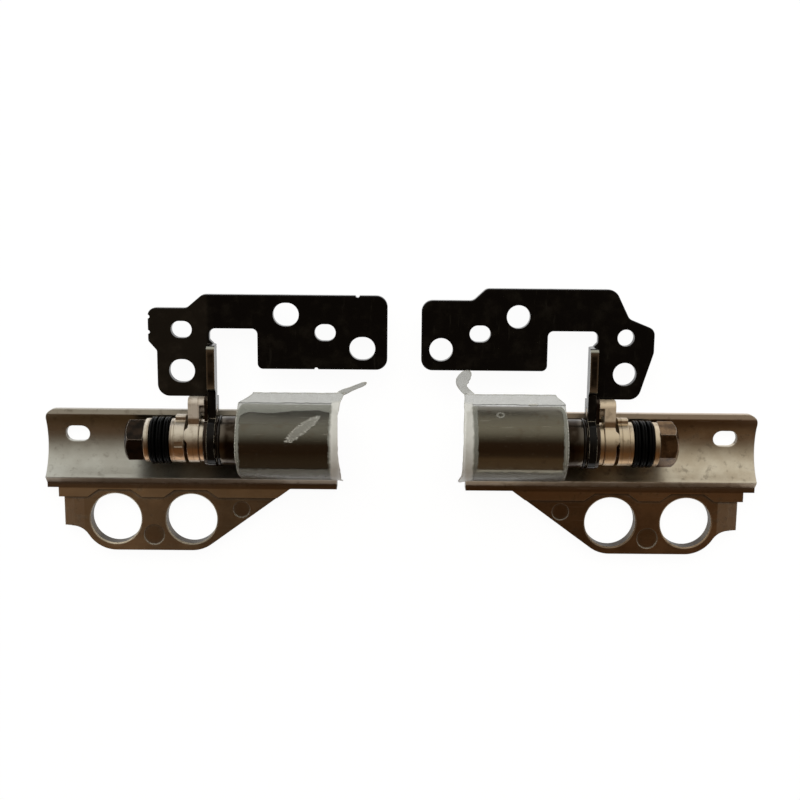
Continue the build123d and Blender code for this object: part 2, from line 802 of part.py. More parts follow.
def tab_corners(side):
    """Pull tab in plan: a slanting strip on the left film, a standing rounded lobe on the right one."""
    foot = film_flap_end()[0] - tab_overlap
    film_inner = barrel_inner - film_overhang
    if side < 0:
        tip = film_inner - left_tab_length
        return [
            (film_inner + left_tab_length, foot),
            (film_inner, foot + left_tab_width),
            (tip, foot + left_tab_rise),
            (tip, foot + left_tab_rise - left_tab_width),
            (film_inner, foot),
        ]
    tab_inner = film_inner + right_tab_inset
    return [
        (tab_inner + right_tab_width, foot),
        (tab_inner + right_tab_width - right_tab_bulge, foot + right_tab_rise / 3),
        (tab_inner + right_tab_width + right_tab_bulge, foot + right_tab_rise),
        (tab_inner + right_tab_bulge, foot + right_tab_rise),
        (tab_inner - right_tab_bulge, foot + right_tab_rise / 3),
        (tab_inner, foot),
    ]


def make_protective_film(side):
    """Clear film: stuck round the front of the barrel, with a free flap and a pull tab."""
    film_radius = barrel_radius + film_gap + film_thickness / 2
    film_inner = barrel_inner - film_overhang
    film_length = barrel_end + film_margin - film_inner
    crest_x = -trough_low
    crest_y = crest_height - axis_height
    crest_distance = hypot(crest_x, crest_y)
    foot_angle = degrees(atan2(crest_y, crest_x) % radians(360) - acos(film_radius / crest_distance))
    foot_length = sqrt(crest_distance ** 2 - film_radius ** 2) - film_foot_gap
    flap_rise, flap_height = film_flap_end()
    with BuildPart() as film:
        with BuildSketch(cross_section(side, film_inner)):
            with BuildLine():
                stuck = CenterArc((0, 0), film_radius, film_leave_angle, foot_angle - film_leave_angle)
                Line((flap_rise, flap_height), stuck @ 0)
                Line(stuck @ 1, stuck @ 1 + (stuck % 1) * foot_length)
            trace(line_width=film_thickness)
        extrude(amount=side * film_length)
        # Slanting cut across the outer corner of the flap
        with BuildSketch(plan(0)):
            Polygon(
                (side * (film_inner + film_length), flap_rise - flap_cut_rise),
                (side * (film_inner + film_length), flap_rise + film_thickness),
                (side * (film_inner + film_length - flap_cut_length), flap_rise + film_thickness),
                align=None,
            )
        extrude(amount=axis_height, mode=Mode.SUBTRACT)
        with BuildSketch(plan(axis_height + flap_height)):
            with BuildLine():
                tab = [(side * out, up) for out, up in tab_corners(side)]
                FilletPolyline(*tab, radius=[0] + [tab_round] * (len(tab) - 2) + [0], close=True)
            make_face()
        extrude(amount=film_thickness)
    return film


for side, hand in ((-1, "left"), (1, "right")):
    nut_turn = left_nut_turn if side < 0 else right_nut_turn
    save(make_base_bracket(side), f"{hand}_base_bracket")
    save(make_shaft(side), f"{hand}_shaft")
    washers = (
        ("inner_friction_washer", inner_washer_at, inner_washer_radius, inner_washer_thickness),
        ("outer_friction_washer", outer_washer_at, outer_washer_radius, outer_washer_thickness),
        ("spring_seat_washer", seat_washer_at, seat_washer_radius, seat_washer_thickness),
        ("end_washer", end_washer_at, end_washer_radius, end_washer_thickness),
    )
    for name, station, radius, thickness in washers:
        save(make_keyed_washer(side, station, radius, thickness), f"{hand}_{name}")
    save(make_display_bracket(side), f"{hand}_display_bracket")
    save(make_friction_plate(side), f"{hand}_keyed_friction_plate")
    save(make_moving_cam(side), f"{hand}_moving_cam")
    save(make_fixed_cam(side), f"{hand}_fixed_cam")
    for number in range(spring_count):
        save(make_disc_spring(side, number), f"{hand}_disc_spring_{number + 1}")
    save(make_lock_nut(side, nut_turn), f"{hand}_lock_nut")
    save(make_protective_film(side), f"{hand}_protective_film")
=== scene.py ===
import math

import bmesh
import bpy
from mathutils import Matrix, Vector, noise


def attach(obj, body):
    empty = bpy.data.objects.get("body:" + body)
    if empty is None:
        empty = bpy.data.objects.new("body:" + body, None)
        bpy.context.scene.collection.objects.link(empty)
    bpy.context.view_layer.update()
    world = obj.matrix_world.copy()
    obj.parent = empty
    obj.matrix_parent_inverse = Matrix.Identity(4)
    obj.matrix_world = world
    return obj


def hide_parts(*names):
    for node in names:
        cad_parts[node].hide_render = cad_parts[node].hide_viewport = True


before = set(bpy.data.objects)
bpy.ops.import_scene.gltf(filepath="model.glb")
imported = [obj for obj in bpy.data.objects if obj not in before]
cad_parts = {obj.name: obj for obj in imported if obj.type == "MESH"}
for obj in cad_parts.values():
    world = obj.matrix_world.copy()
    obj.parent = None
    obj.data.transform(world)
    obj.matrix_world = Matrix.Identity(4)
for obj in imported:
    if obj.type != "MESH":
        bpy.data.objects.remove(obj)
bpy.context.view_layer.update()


# The view and the light.
# The pair lies on a white table, seen from above with the display plates away from the viewer.
# A wide soft lamp and the bright side of the room stand behind the plates; the near side is dim brown.
scene = bpy.context.scene
scene.view_settings.view_transform = "Standard"

camera_data = bpy.data.cameras.new("overhead_view")
camera_data.sensor_width = 36.0
camera_data.lens = 54.0
camera_data.clip_start = 0.01
camera_data.clip_end = 20.0
camera = bpy.data.objects.new("overhead_view", camera_data)
camera.location = (-0.00048, 0.02905, 0.1516)
camera.rotation_euler = (math.radians(-9.93), 0.0, math.radians(0.5))
scene.collection.objects.link(camera)
scene.camera = camera

lamp_data = bpy.data.lights.new("soft_lamp", "AREA")
lamp_data.shape = "RECTANGLE"
lamp_data.size = 1.0
lamp_data.size_y = 0.8
lamp_data.energy = 5.0
lamp_data.color = (1.0, 0.98, 0.94)
lamp = bpy.data.objects.new("soft_lamp", lamp_data)
lamp.location = (-0.05, 0.55, 0.75)
lamp.visible_glossy = False
lamp.rotation_euler = (-lamp.location).to_track_quat("-Z", "Y").to_euler()
scene.collection.objects.link(lamp)


def put(tree, kind, links=None, **settings):
    """Adds a node. links gives its inputs: another node's socket, or a value."""
    made = tree.nodes.new(kind)
    for key, value in settings.items():
        setattr(made, key, value)
    for key, value in (links or {}).items():
        if isinstance(value, bpy.types.NodeSocket):
            tree.links.new(value, made.inputs[key])
        else:
            made.inputs[key].default_value = value
    return made


def ramp(tree, source, stops, blend="LINEAR"):
    """Colour ramp over a value: stops are (place, colour)."""
    made = put(tree, "ShaderNodeValToRGB", {"Fac": source})
    made.color_ramp.interpolation = blend
    points = made.color_ramp.elements
    while len(points) < len(stops):
        points.new(0.5)
    for point, (place, colour) in zip(points, stops):
        point.position = place
        point.color = (*colour, 1.0)
    return made.outputs["Color"]


room = bpy.data.worlds.new("room")
room.use_nodes = True
scene.world = room
tree = room.node_tree
tree.nodes.clear()
direction = put(tree, "ShaderNodeTexCoord").outputs["Generated"]
parts = put(tree, "ShaderNodeSeparateXYZ", {"Vector": direction}).outputs
lean = put(tree, "ShaderNodeMath", {0: parts["Y"], 1: parts["Z"]}, operation="ARCTAN2").outputs[0]
spread = put(tree, "ShaderNodeMapRange", {
    "Value": lean, "From Min": math.radians(-90), "From Max": math.radians(90),
}).outputs["Result"]
sky = ramp(tree, spread, [
    (0.00, (0.15, 0.105, 0.07)),
    (0.22, (0.12, 0.075, 0.040)),
    (0.36, (0.075, 0.034, 0.011)),
    (0.50, (0.080, 0.039, 0.016)),
    (0.555, (0.16, 0.130, 0.095)),
    (0.61, (0.33, 0.300, 0.250)),
    (0.68, (0.58, 0.555, 0.495)),
    (0.76, (0.74, 0.720, 0.660)),
    (0.88, (0.78, 0.765, 0.71)),
    (1.00, (0.66, 0.645, 0.59)),
])
lit = put(tree, "ShaderNodeBackground", {"Color": sky, "Strength": 1.0}).outputs[0]
put(tree, "ShaderNodeOutputWorld", {"Surface": lit})

table_mesh = bpy.data.meshes.new("white_table")
half_table = 6.0
table_drop = 0.0001
table_mesh.from_pydata(
    [(-half_table, -half_table, -table_drop), (half_table, -half_table, -table_drop),
     (half_table, half_table, -table_drop), (-half_table, half_table, -table_drop)], [], [(0, 1, 2, 3)])
table = bpy.data.objects.new("white_table", table_mesh)
scene.collection.objects.link(table)
table_white = bpy.data.materials.new("table_white")
table_white.use_nodes = True
tree = table_white.node_tree
tree.nodes.clear()
path = put(tree, "ShaderNodeLightPath").outputs
glow_share = 0.90
seen = path["Is Camera Ray"]
for other in ("Is Glossy Ray", "Is Transmission Ray"):
    seen = put(tree, "ShaderNodeMath", {0: seen, 1: path[other]}, operation="MAXIMUM").outputs[0]
share = put(tree, "ShaderNodeMath", {0: seen, 1: glow_share}, operation="MULTIPLY").outputs[0]
paper = put(tree, "ShaderNodeBsdfDiffuse", {"Color": (0.88, 0.88, 0.87, 1)}).outputs[0]
glow = put(tree, "ShaderNodeEmission", {"Color": (1, 1, 1, 1), "Strength": 1.06}).outputs[0]
both = put(tree, "ShaderNodeMixShader", {0: share, 1: paper, 2: glow}).outputs[0]
put(tree, "ShaderNodeOutputMaterial", {"Surface": both})
table_mesh.materials.append(table_white)


# The two cast bases.
# Nickel-plated zinc die castings, barrel, open trough and flange in one, screwed to the keyboard half.
# The satin plating is stained and finely scratched; the barrel is smoother and darker than the trough.
def new_finish(name):
    """Empty node material: returns it with its tree and its shader."""
    made = bpy.data.materials.new(name)
    made.use_nodes = True
    made.node_tree.nodes.clear()
    shader = put(made.node_tree, "ShaderNodeBsdfPrincipled")
    put(made.node_tree, "ShaderNodeOutputMaterial", {"Surface": shader.outputs[0]})
    return made, made.node_tree, shader


def millimetres(tree, stretch=(1.0, 1.0, 1.0)):
    """Place on the piece in millimetres, stretched along each axis."""
    spot = put(tree, "ShaderNodeTexCoord").outputs["Object"]
    return put(tree, "ShaderNodeMapping", {
        "Vector": spot, "Scale": [1000.0 * s for s in stretch],
    }).outputs[0]


def grain(tree, where, scale, detail=3.0, rough=0.55):
    """Soft noise over a place, from 0 to 1."""
    return put(tree, "ShaderNodeTexNoise", {
        "Vector": where, "Scale": scale, "Detail": detail, "Roughness": rough,
    }).outputs["Fac"]


def window(tree, value, low, high):
    """0 below low, 1 above high, smooth between; turned round where low is above high."""
    return put(tree, "ShaderNodeMapRange", {
        "Value": value, "From Min": min(low, high), "From Max": max(low, high),
        "To Min": 0.0 if low < high else 1.0, "To Max": 1.0 if low < high else 0.0,
    }, interpolation_type="SMOOTHSTEP").outputs["Result"]


def sums(tree, kind, a, b=0.0):
    """One sum on two values, named by its kind."""
    return put(tree, "ShaderNodeMath", {0: a, 1: b}, operation=kind).outputs[0]


def times(tree, a, b):
    """One value times another."""
    return sums(tree, "MULTIPLY", a, b)


def plus(tree, a, b):
    """One value and another added up."""
    return sums(tree, "ADD", a, b)


def all_but(tree, mask):
    """What a mask leaves out."""
    return sums(tree, "SUBTRACT", 1.0, mask)


def tint(tree, share, under, over):
    """Lays one colour over another by a share."""
    made = put(tree, "ShaderNodeMix", {"Factor": share}, data_type="RGBA")
    for slot, colour in (("A", under), ("B", over)):
        socket = [s for s in made.inputs if s.name == slot and s.type == "RGBA"][0]
        if isinstance(colour, bpy.types.NodeSocket):
            tree.links.new(colour, socket)
        else:
            socket.default_value = (*colour, 1.0)
    return [s for s in made.outputs if s.type == "RGBA"][0]


def soft_edge_wear_and_sheen(tree, radius):
    """Softened normal at the edges, and a mask of those edges, used to lighten them for wear and for painted
    highlights.
    """
    soft = put(tree, "ShaderNodeBevel", {"Radius": radius}, samples=6).outputs[0]
    flat = put(tree, "ShaderNodeNewGeometry").outputs["Normal"]
    same = put(tree, "ShaderNodeVectorMath", {0: soft, 1: flat}, operation="DOT_PRODUCT").outputs["Value"]
    return soft, window(tree, same, 0.995, 0.90)


def roughen(tree, shader, height, strength, depth, soft):
    """Bump of a height pattern over a softened normal."""
    bump = put(tree, "ShaderNodeBump", {
        "Strength": strength, "Distance": depth, "Height": height, "Normal": soft,
    }).outputs[0]
    tree.links.new(bump, shader.inputs["Normal"])


hands = ("left", "right")
shaft_across = -2.0           # the shaft's axis, in millimetres from the middle of the pair
shaft_up = 4.7
ejector_marks = ((31.88, -15.1, 1.35), (20.55, -11.65, 1.1))     # outward, across, radius
trough_turn = 0.17            # how far the hollow leans towards the display side
slope_shade = (0.20, 0.13, 0.075)
land_bright = (0.80, 0.73, 0.62)
mark_brown = (0.20, 0.13, 0.07)
hole_wall_shade = (0.040, 0.029, 0.020)
corner_shade_tone = (0.035, 0.022, 0.013)
end_face_shade = (0.17, 0.14, 0.105)
stain_brown = (0.10, 0.062, 0.032)
fleck_dark = (0.05, 0.032, 0.018)
scratch_pale = (0.62, 0.58, 0.52)
edge_wear_and_sheen_tone = (0.66, 0.62, 0.55)


def make_casting_finish(hand, bright, shade, upper_shade_tone, flange_tone, barrel_tone, stain,
                        lip_tone, lip_turn, barrel_turn, barrel_front):
    """Nickel skin of one casting: its zones, their tones, the wear and the painted shade and highlights on
    them, and how rough each is.
    """
    finish, tree, shader = new_finish(f"{hand}_nickel_casting")
    spot = millimetres(tree)
    place = put(tree, "ShaderNodeSeparateXYZ", {"Vector": spot}).outputs
    across = place["Y"]
    up = place["Z"]
    outward = sums(tree, "ABSOLUTE", place["X"])
    normal = put(tree, "ShaderNodeNewGeometry").outputs["Normal"]
    facing = put(tree, "ShaderNodeSeparateXYZ", {"Vector": normal}).outputs

    # Zones of the casting: each window gives the two places, in millimetres, between which a zone fades in.
    off_axis = [sums(tree, "SUBTRACT", across, shaft_across), sums(tree, "SUBTRACT", up, shaft_up)]
    radius = sums(tree, "SQRT", plus(tree, *[times(tree, off, off) for off in off_axis]))
    barrel = times(tree, window(tree, outward, 20.45, 20.2), window(tree, radius, 4.80, 4.68))
    barrel_face = times(tree, window(tree, across, -2.5, -3.2), window(tree, across, -5.0, -4.0))
    trough = times(tree, window(tree, across, -7.1, -6.8), window(tree, outward, 20.2, 20.6))
    lip = window(tree, across, 0.55, 0.75)
    # Painted shade: the upper band of the trough is darkened to stand for the dark room it reflects.
    upper_shade = times(tree, window(tree, across, -1.6, 0.2), all_but(tree, lip))
    crest = times(tree, window(tree, across, -6.6, -6.9), window(tree, across, -9.3, -9.0))
    slope = times(tree, window(tree, across, -7.35, -7.55), window(tree, across, -9.0, -8.8))
    flange = window(tree, across, -8.2, -8.8)
    raised_strip = times(tree, flange, window(tree, up, 1.93, 2.03))
    end_land = times(tree, window(tree, outward, 40.7, 40.9), window(tree, across, -10.0, -10.3))
    hole_wall = times(tree, window(tree, sums(tree, "ABSOLUTE", facing["Z"]), 0.55, 0.25), flange)
    end_face = window(tree, sums(tree, "ABSOLUTE", facing["X"]), 0.60, 0.85)
    # Painted highlight: a thin light line along the crest.
    crest_highlight = times(tree, window(tree, across, -7.12, -7.18), window(tree, across, -7.38, -7.30))
    crest_highlight = times(tree, crest_highlight, all_but(tree, end_face))
    pressed = 0.0
    for mark_outward, mark_across, mark_radius in ejector_marks:
        dx = sums(tree, "SUBTRACT", outward, mark_outward)
        dy = sums(tree, "SUBTRACT", across, mark_across)
        gap = sums(tree, "SQRT", plus(tree, times(tree, dx, dx), times(tree, dy, dy)))
        pressed = plus(tree, window(tree, gap, mark_radius + 0.05, mark_radius - 0.1), pressed)

    # Patterns over the skin, painted shade in its corners, and the wear and painted highlights at its edges.
    clouds = window(tree, grain(tree, spot, 0.30, 4.0), 0.35, 0.68)
    stains = window(tree, grain(tree, spot, 0.8, 5.0, 0.65), 0.53, 0.70)
    streaks = grain(tree, millimetres(tree, (0.10, 2.2, 2.2)), 1.6, 4.0, 0.7)
    scratches = window(tree, grain(tree, millimetres(tree, (0.25, 5.0, 5.0)), 1.1, 2.0, 0.6), 0.66, 0.72)
    flecks = window(tree, grain(tree, millimetres(tree, (1.0, 1.6, 1.6)), 2.2, 2.0, 0.8), 0.71, 0.76)
    # Painted shade: corners darken by how closely other surfaces hide them.
    corners = put(tree, "ShaderNodeAmbientOcclusion", {"Distance": 0.0005}, samples=4, only_local=True)
    corner_shade = times(tree, window(tree, corners.outputs["AO"], 0.95, 0.66), all_but(tree, barrel))
    soft, edge = soft_edge_wear_and_sheen(tree, 0.00016)
    edge_wear_and_sheen = times(tree, edge, all_but(tree, plus(tree, barrel, crest)))
    edge_wear_and_sheen = times(tree, edge_wear_and_sheen, all_but(tree, hole_wall))

    # Tones of the zones, and over them the dirt, the wear, painted shade and painted highlights.
    colour = tint(tree, clouds, shade, bright)
    # Painted shade over the upper trough.
    colour = tint(tree, times(tree, upper_shade, 0.85), colour, upper_shade_tone)
    colour = tint(tree, times(tree, lip, 0.9), colour, lip_tone)
    weathered = tint(tree, clouds, [0.72 * c for c in flange_tone], flange_tone)
    far_out = plus(tree, times(tree, window(tree, outward, 20.0, 38.0), 0.5), 0.7)
    weathered = put(tree, "ShaderNodeVectorMath", {
        0: weathered, "Scale": far_out,
    }, operation="SCALE").outputs[0]
    colour = tint(tree, flange, colour, weathered)
    colour = tint(tree, times(tree, raised_strip, 0.45), colour, [min(1.0, 1.35 * c) for c in flange_tone])
    # Painted shade on the slope below the crest, which faces away from the light.
    colour = tint(tree, times(tree, slope, 0.75), colour, slope_shade)
    colour = tint(tree, times(tree, end_land, 0.85), colour, land_bright)
    colour = tint(tree, times(tree, pressed, 0.45), colour, mark_brown)
    # Painted shade inside the screw holes.
    colour = tint(tree, times(tree, hole_wall, 0.97), colour, hole_wall_shade)
    # Painted shade in the corners.
    colour = tint(tree, times(tree, corner_shade, 0.85), colour, corner_shade_tone)
    lit_share = times(tree, barrel_face, barrel_front)
    lit_barrel = tint(tree, lit_share, barrel_tone, [2.6 * c for c in barrel_tone])
    colour = tint(tree, barrel, colour, lit_barrel)
    # Painted shade on faces turned along the shaft, towards either end.
    colour = tint(tree, times(tree, end_face, 0.8), colour, end_face_shade)
    colour = tint(tree, times(tree, stains, stain), colour, stain_brown)
    colour = tint(tree, times(tree, flecks, 0.5), colour, fleck_dark)
    colour = tint(tree, times(tree, scratches, 0.25), colour, scratch_pale)
    colour = tint(tree, times(tree, crest_highlight, 0.5), colour, bright)
    # Edges lightened: partly bare worn plating, partly a painted highlight.
    colour = tint(tree, times(tree, edge_wear_and_sheen, 0.65), colour, edge_wear_and_sheen_tone)
    tree.links.new(colour, shader.inputs["Base Color"])

    # Hole walls, end faces and shaded corners are less metallic than the plating.
    dull = times(tree, plus(tree, hole_wall, times(tree, end_face, 0.6)), 0.95)
    dull = plus(tree, dull, times(tree, corner_shade, 0.6))
    dull = put(tree, "ShaderNodeClamp", {"Value": dull}).outputs[0]
    tree.links.new(all_but(tree, dull), shader.inputs["Metallic"])
    shader.inputs["Specular IOR Level"].default_value = 0.10

    # The plating is satin, and the barrel polished except at its back.
    satin = plus(tree, times(tree, streaks, 0.20), 0.30)
    satin = sums(tree, "SUBTRACT", satin, times(tree, flange, 0.02))
    satin = plus(tree, satin, times(tree, stains, 0.10))
    polished = plus(tree, times(tree, streaks, 0.10), 0.08)
    polished = plus(tree, polished, times(tree, window(tree, across, 0.4, 1.4), 0.30))
    rough = put(tree, "ShaderNodeMix", {"Factor": barrel, "A": satin, "B": polished}, data_type="FLOAT")
    tree.links.new(rough.outputs["Result"], shader.inputs["Roughness"])

    # Fine pits, and a slight lean of the trough, the lip and the barrel.
    pits = plus(tree, times(tree, grain(tree, spot, 5.0, 3.0), 0.6), times(tree, streaks, 0.4))
    pits = times(tree, pits, all_but(tree, times(tree, barrel, 0.85)))
    lean = plus(tree, times(tree, trough, trough_turn), times(tree, lip, lip_turn))
    lean = plus(tree, lean, times(tree, barrel, barrel_turn))
    lean = put(tree, "ShaderNodeCombineXYZ", {"Y": lean}).outputs[0]
    leant = put(tree, "ShaderNodeVectorMath", {0: soft, 1: lean}, operation="ADD").outputs[0]
    leant = put(tree, "ShaderNodeVectorMath", {0: leant}, operation="NORMALIZE").outputs[0]
    roughen(tree, shader, pits, 0.14, 0.00003, leant)
    return finish


def dress(node, finish):
    """Gives a CAD node its finish."""
    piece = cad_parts[node]
    for slot in piece.material_slots:
        slot.material = finish


casting_tones = {
    "left": dict(
        bright=(0.60, 0.60, 0.555), shade=(0.52, 0.51, 0.465), upper_shade_tone=(0.25, 0.20, 0.12),
        flange_tone=(0.76, 0.67, 0.52), barrel_tone=(0.145, 0.138, 0.113), stain=0.30,
        lip_tone=(0.42, 0.38, 0.32), lip_turn=0.22, barrel_turn=0.0, barrel_front=0.0),
    "right": dict(
        bright=(0.78, 0.71, 0.58), shade=(0.62, 0.535, 0.41), upper_shade_tone=(0.18, 0.10, 0.048),
        flange_tone=(0.44, 0.31, 0.19), barrel_tone=(0.165, 0.15, 0.113), stain=0.38,
        lip_tone=(0.62, 0.50, 0.39), lip_turn=0.05, barrel_turn=-0.09, barrel_front=0.6),
}
for hand in hands:
    dress(f"{hand}_base_bracket", make_casting_finish(hand, **casting_tones[hand]))


# The two shafts.
# Turned steel, pressed into the barrel: a collar, a journal with two flats and a threaded end.
# The collar shows fine turning rings under a film of dark oil, and a painted highlight on its rounded end.
thin_oil = (0.070, 0.055, 0.042)
thick_oil = (0.030, 0.021, 0.014)
rounded_end_highlight = (0.26, 0.23, 0.19)
rubbed_steel = (0.42, 0.36, 0.30)
shaft_finish, tree, shader = new_finish("turned_steel")
spot = millimetres(tree)
outward = sums(tree, "ABSOLUTE", put(tree, "ShaderNodeSeparateXYZ", {"Vector": spot}).outputs["X"])
rings = grain(tree, millimetres(tree, (9.0, 0.15, 0.15)), 1.0, 2.0)
oil = window(tree, grain(tree, spot, 0.8, 4.0), 0.36, 0.60)
soft, edge = soft_edge_wear_and_sheen(tree, 0.00020)
# Painted highlight on the collar's rounded end next to the leg.
rounded_end = times(tree, window(tree, outward, 21.5, 22.2), window(tree, outward, 22.75, 22.55))
colour = tint(tree, oil, thin_oil, thick_oil)
colour = tint(tree, times(tree, rounded_end, 0.35), colour, rounded_end_highlight)
colour = tint(tree, times(tree, edge, 0.45), colour, rubbed_steel)
tree.links.new(colour, shader.inputs["Base Color"])
shader.inputs["Metallic"].default_value = 1.0
tree.links.new(plus(tree, times(tree, rings, 0.16), 0.12), shader.inputs["Roughness"])
roughen(tree, shader, rings, 0.2, 0.00002, soft)
for hand in hands:
    dress(f"{hand}_shaft", shaft_finish)


# Display brackets.
# Stamped and bent steel sheet with a black glossy coat, smudged by handling and rubbed bright at the edges.
# The leg's sheared edge shows torn bare steel, with a painted highlight along its borders and ends; the eye
# at its foot turns on the shaft between washers.
coat_black = (0.0035, 0.003, 0.0026)
coat_smudged = (0.010, 0.0085, 0.0065)
coat_wiped = (0.018, 0.016, 0.013)
coat_ear_lighter = (0.022, 0.0175, 0.0125)
chipped_steel = (0.20, 0.175, 0.15)
torn_dark = (0.045, 0.043, 0.036)
torn_light = (0.14, 0.135, 0.11)
sheared_edge_highlight = (0.42, 0.42, 0.37)
rubbed_rim = (0.40, 0.35, 0.27)
black_finish, tree, shader = new_finish("black_coat")
spot = millimetres(tree)
place = put(tree, "ShaderNodeSeparateXYZ", {"Vector": spot}).outputs
outward = sums(tree, "ABSOLUTE", place["X"])
smudge = window(tree, grain(tree, spot, 0.45, 5.0, 0.65), 0.46, 0.78)
wipes = window(tree, grain(tree, millimetres(tree, (1.6, 0.22, 1.0)), 0.9, 4.0, 0.7), 0.60, 0.74)
soft, edge = soft_edge_wear_and_sheen(tree, 0.00014)
# The left bracket's ear is a little lighter, more so where it is smudged.
lighter_ear = times(tree, window(tree, place["X"], -23.9, -24.4), plus(tree, times(tree, smudge, 0.4), 0.4))
chips = times(tree, edge, window(tree, grain(tree, spot, 1.3, 4.0), 0.46, 0.64))
sheared = times(tree, window(tree, place["Z"], 6.15, 6.35), window(tree, place["Y"], 1.5, 2.0))
# The middle of the sheared edge is torn steel; its borders and ends carry a painted highlight.
middle = times(tree, window(tree, outward, 22.98, 23.22), window(tree, outward, 23.97, 23.73))
middle = times(tree, middle, window(tree, place["Y"], 4.9, 5.6))
middle = times(tree, middle, window(tree, place["Y"], 9.7, 9.0))
tear = grain(tree, millimetres(tree, (0.5, 1.2, 1.0)), 0.8, 3.0)
torn = tint(tree, window(tree, tear, 0.35, 0.65), torn_dark, torn_light)
eye_rim = times(tree, edge, window(tree, place["Y"], 1.6, 1.2))
eye_rim = times(tree, eye_rim, window(tree, grain(tree, spot, 1.1), 0.40, 0.55))
colour = tint(tree, smudge, coat_black, coat_smudged)
colour = tint(tree, times(tree, wipes, 0.5), colour, coat_wiped)
colour = tint(tree, lighter_ear, colour, coat_ear_lighter)
colour = tint(tree, times(tree, chips, 0.45), colour, chipped_steel)
colour = tint(tree, sheared, colour, tint(tree, middle, sheared_edge_highlight, torn))
colour = tint(tree, times(tree, eye_rim, 0.6), colour, rubbed_rim)
tree.links.new(colour, shader.inputs["Base Color"])
tree.links.new(times(tree, sheared, 0.95), shader.inputs["Metallic"])
shader.inputs["Specular IOR Level"].default_value = 0.14
tree.links.new(plus(tree, times(tree, smudge, 0.16), 0.14), shader.inputs["Roughness"])
roughen(tree, shader, grain(tree, spot, 3.0, 4.0), 0.06, 0.00003, soft)
for hand in hands:
    dress(f"{hand}_display_bracket", black_finish)


# Inner friction washer and keyed friction plate, one on each side of the arm's eye.
# Hardened steel stampings, threaded on the shaft, that rub on the eye and run in black grease.
# Only their rounded rims show through it, with a painted highlight.
grease_black = (0.012, 0.008, 0.006)
grease_thin = (0.060, 0.042, 0.031)
rim_highlight_tone = (0.50, 0.43, 0.33)
greased_finish, tree, shader = new_finish("greased_steel")
spot = millimetres(tree)
soft, edge = soft_edge_wear_and_sheen(tree, 0.00010)
wet = grain(tree, spot, 1.4, 4.0)
# Painted highlight along the rounded rims, broken up by noise.
rim_highlight = times(tree, edge, window(tree, grain(tree, spot, 0.9, 3.0), 0.42, 0.60))
colour = tint(tree, wet, grease_black, grease_thin)
colour = tint(tree, times(tree, rim_highlight, 0.8), colour, rim_highlight_tone)
tree.links.new(colour, shader.inputs["Base Color"])
shader.inputs["Metallic"].default_value = 0.9
tree.links.new(plus(tree, times(tree, wet, 0.2), 0.10), shader.inputs["Roughness"])
roughen(tree, shader, grain(tree, spot, 4.0, 2.0), 0.2, 0.00003, soft)
for hand in hands:
    for piece in ("inner_friction_washer", "keyed_friction_plate"):
        dress(f"{hand}_{piece}", greased_finish)


# Cams, and the bright washers before and behind them.
# Sintered steel cams and pressed rings with a warm nickel skin, threaded on the shaft one behind the other.
# Old grease has browned them in patches; a brown band and a paler bottom low down are painted reflections of
# the room and the trough, and the right hand set is more golden.
nickel_dark = (0.52, 0.455, 0.37)
nickel_light = (0.66, 0.60, 0.51)
nickel_top_highlight = (0.90, 0.82, 0.69)
finger_grey = (0.66, 0.60, 0.52)
brown_reflection_tone = (0.80, 0.50, 0.28)
low_reflection_tone = (0.72, 0.62, 0.49)
golden_nickel = (0.72, 0.54, 0.31)
smear_brown = (0.22, 0.15, 0.09)
groove_brown = (0.20, 0.13, 0.075)
edge_nickel = (0.70, 0.63, 0.53)
nickel_finish, tree, shader = new_finish("warm_nickel")
spot = millimetres(tree)
place = put(tree, "ShaderNodeSeparateXYZ", {"Vector": spot}).outputs
across = place["Y"]
golden = window(tree, place["X"], -1.0, 1.0)
top_side = window(tree, across, -2.4, -1.4)
finger = window(tree, across, 0.9, 1.3)
brown_reflection = times(tree, window(tree, across, -2.2, -2.8), window(tree, across, -4.35, -4.05))
low_side = window(tree, across, -4.05, -4.4)
smear = window(tree, grain(tree, spot, 0.75, 4.0, 0.6), 0.52, 0.70)
turned = window(tree, grain(tree, millimetres(tree, (3.4, 0.04, 0.04)), 1.0, 2.0), 0.58, 0.66)
soft, edge = soft_edge_wear_and_sheen(tree, 0.00012)
colour = tint(tree, grain(tree, spot, 1.6), nickel_dark, nickel_light)
# Painted highlight: the upper side is lighter.
colour = tint(tree, times(tree, top_side, 0.5), colour, nickel_top_highlight)
colour = tint(tree, finger, colour, finger_grey)
# Painted reflection: a brown band below the middle, standing for the brown room.
colour = tint(tree, times(tree, brown_reflection, 0.85), colour, brown_reflection_tone)
# Painted reflection: the bottom is paler, standing for the trough wall below.
colour = tint(tree, times(tree, low_side, 0.8), colour, low_reflection_tone)
colour = tint(tree, times(tree, golden, 0.45), colour, golden_nickel)
colour = tint(tree, times(tree, smear, 0.45), colour, smear_brown)
colour = tint(tree, times(tree, turned, 0.45), colour, groove_brown)
colour = tint(tree, times(tree, edge, 0.40), colour, edge_nickel)
tree.links.new(colour, shader.inputs["Base Color"])
tree.links.new(all_but(tree, times(tree, finger, 0.6)), shader.inputs["Metallic"])
shader.inputs["Specular IOR Level"].default_value = 0.3
rough = plus(tree, times(tree, grain(tree, spot, 3.0), 0.25), 0.24)
tree.links.new(plus(tree, rough, times(tree, finger, 0.14)), shader.inputs["Roughness"])
roughen(tree, shader, grain(tree, spot, 6.0), 0.18, 0.00002, soft)
for hand in hands:
    for piece in ("outer_friction_washer", "moving_cam", "fixed_cam", "spring_seat_washer", "end_washer"):
        dress(f"{hand}_{piece}", nickel_finish)


